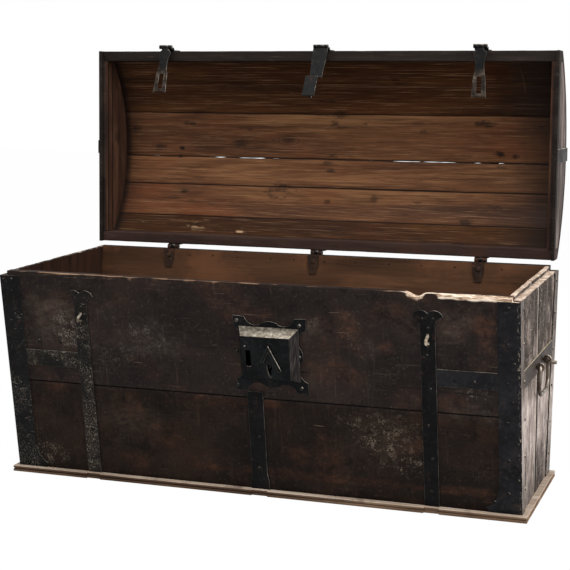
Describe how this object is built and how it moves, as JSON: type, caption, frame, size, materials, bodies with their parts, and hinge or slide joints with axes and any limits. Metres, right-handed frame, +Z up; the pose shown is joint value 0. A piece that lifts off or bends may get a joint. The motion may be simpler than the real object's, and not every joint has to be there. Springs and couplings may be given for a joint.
{
  "type": "storage chest",
  "caption": "Iron-bound wooden storage chest with leaning front and back walls, a vaulted stave lid on strap hinges, three hasps, a box lock and a bail handle on each end.",
  "frame": {"origin": "centre of the chest's underside", "axes": "+X along the length, to the right of someone who faces the lock; -Y towards that person; +Z up"},
  "size_m": [1.3588, 0.7192, 1.0947],
  "materials": {
    "stained_wood": "dark stained, worn",
    "bare_wood": "bare softwood, aged",
    "base_wood": "bare, worn pale on the edges",
    "black_iron": "forged, blackened",
    "worn_iron": "forged, rubbed and lightly rusted"
  },
  "bodies": {
    "chest": {"back_board_lower": "stained_wood", "back_board_upper": "stained_wood", "base_board_front": "base_wood", "base_board_rear": "base_wood", "corner_iron_front_left": "black_iron", "corner_iron_front_right": "black_iron", "corner_iron_rear_left": "black_iron", "corner_iron_rear_right": "black_iron", "end_band_left": "black_iron", "end_band_right": "black_iron", "front_band_left": "black_iron", "front_band_right": "black_iron", "front_board_lower": "stained_wood", "front_board_upper": "stained_wood", "front_strap_centre": "black_iron", "front_strap_left": "black_iron", "front_strap_right": "black_iron", "handle_eyes_left": "worn_iron", "handle_eyes_right": "worn_iron", "hinge_leaf_centre": "worn_iron", "hinge_leaf_left": "worn_iron", "hinge_leaf_right": "worn_iron", "keyhole_hood": "black_iron", "left_end_board_front": "stained_wood", "left_end_board_rear": "stained_wood", "lock_bolt_guides": "worn_iron", "lock_case": "black_iron", "lock_key_post": "worn_iron", "lock_plate": "black_iron", "lock_spring": "worn_iron", "right_end_board_front": "stained_wood", "right_end_board_rear": "stained_wood", "staple_left": "worn_iron", "staple_right": "worn_iron"},
    "lid": {"lid_end_board_left": "bare_wood", "lid_end_board_right": "bare_wood", "lid_end_moulding_left": "bare_wood", "lid_end_moulding_right": "bare_wood", "lid_end_strap_left": "black_iron", "lid_end_strap_right": "black_iron", "lid_front_rail": "bare_wood", "lid_rear_rail": "bare_wood", "lid_stave_1": "bare_wood", "lid_stave_2": "bare_wood", "lid_stave_3": "bare_wood", "lid_stave_4": "bare_wood", "lid_stave_5": "bare_wood", "lid_stave_6": "bare_wood", "lid_strap_centre": "black_iron", "lid_strap_left": "black_iron", "lid_strap_right": "black_iron"},
    "pin_left": {"hasp_pin_left": "worn_iron"},
    "swing_left": {"hasp_left": "worn_iron"},
    "pin_centre": {"hasp_pin_centre": "worn_iron"},
    "swing_centre": {"hasp_centre": "worn_iron"},
    "pin_right": {"hasp_pin_right": "worn_iron"},
    "swing_right": {"hasp_right": "worn_iron"},
    "bail_left": {"handle_left": "worn_iron"},
    "bail_right": {"handle_right": "worn_iron"},
    "bolt": {"lock_bolt": "worn_iron"}
  },
  "joints": [
    {"name": "lid_hinge", "type": "hinge", "parent": "chest", "child": "lid", "pos_m": [0, 0.274, 0.538], "axis": [1, 0, 0], "range_deg": [0, 91.7]},
    {"name": "pin_left_turn", "type": "hinge", "parent": "lid", "child": "pin_left", "pos_m": [-0.436, 0.27485, 1.08922], "axis": [1, 0, 0], "range_deg": [-91.7, 0]},
    {"name": "hasp_left_swing", "type": "hinge", "parent": "pin_left", "child": "swing_left", "pos_m": [-0.436, 0.27485, 1.08922], "axis": [1, 0, 0], "range_deg": [-120, 30.87]},
    {"name": "pin_centre_turn", "type": "hinge", "parent": "lid", "child": "pin_centre", "pos_m": [0.012, 0.27485, 1.08922], "axis": [1, 0, 0], "range_deg": [-91.7, 0]},
    {"name": "hasp_centre_swing", "type": "hinge", "parent": "pin_centre", "child": "swing_centre", "pos_m": [0.012, 0.27485, 1.08922], "axis": [1, 0, 0], "range_deg": [-120, 38]},
    {"name": "pin_right_turn", "type": "hinge", "parent": "lid", "child": "pin_right", "pos_m": [0.44, 0.27485, 1.08922], "axis": [1, 0, 0], "range_deg": [-91.7, 0]},
    {"name": "hasp_right_swing", "type": "hinge", "parent": "pin_right", "child": "swing_right", "pos_m": [0.44, 0.27485, 1.08922], "axis": [1, 0, 0], "range_deg": [-120, 16.87]},
    {"name": "handle_left_swing", "type": "hinge", "parent": "chest", "child": "bail_left", "pos_m": [-0.6636, 0, 0.31169], "axis": [0, 1, 0], "range_deg": [0, 170]},
    {"name": "handle_right_swing", "type": "hinge", "parent": "chest", "child": "bail_right", "pos_m": [0.6636, 0, 0.33442], "axis": [0, -1, 0], "range_deg": [0, 110]},
    {"name": "bolt_slide", "type": "slide", "parent": "chest", "child": "bolt", "axis": [-1, 0, 0], "range_m": [0, 0.02]}
  ],
  "couplings": [
    {"joint": "pin_left_turn", "follows": "lid_hinge", "ratio": -1},
    {"joint": "pin_centre_turn", "follows": "lid_hinge", "ratio": -1},
    {"joint": "pin_right_turn", "follows": "lid_hinge", "ratio": -1}
  ]
}
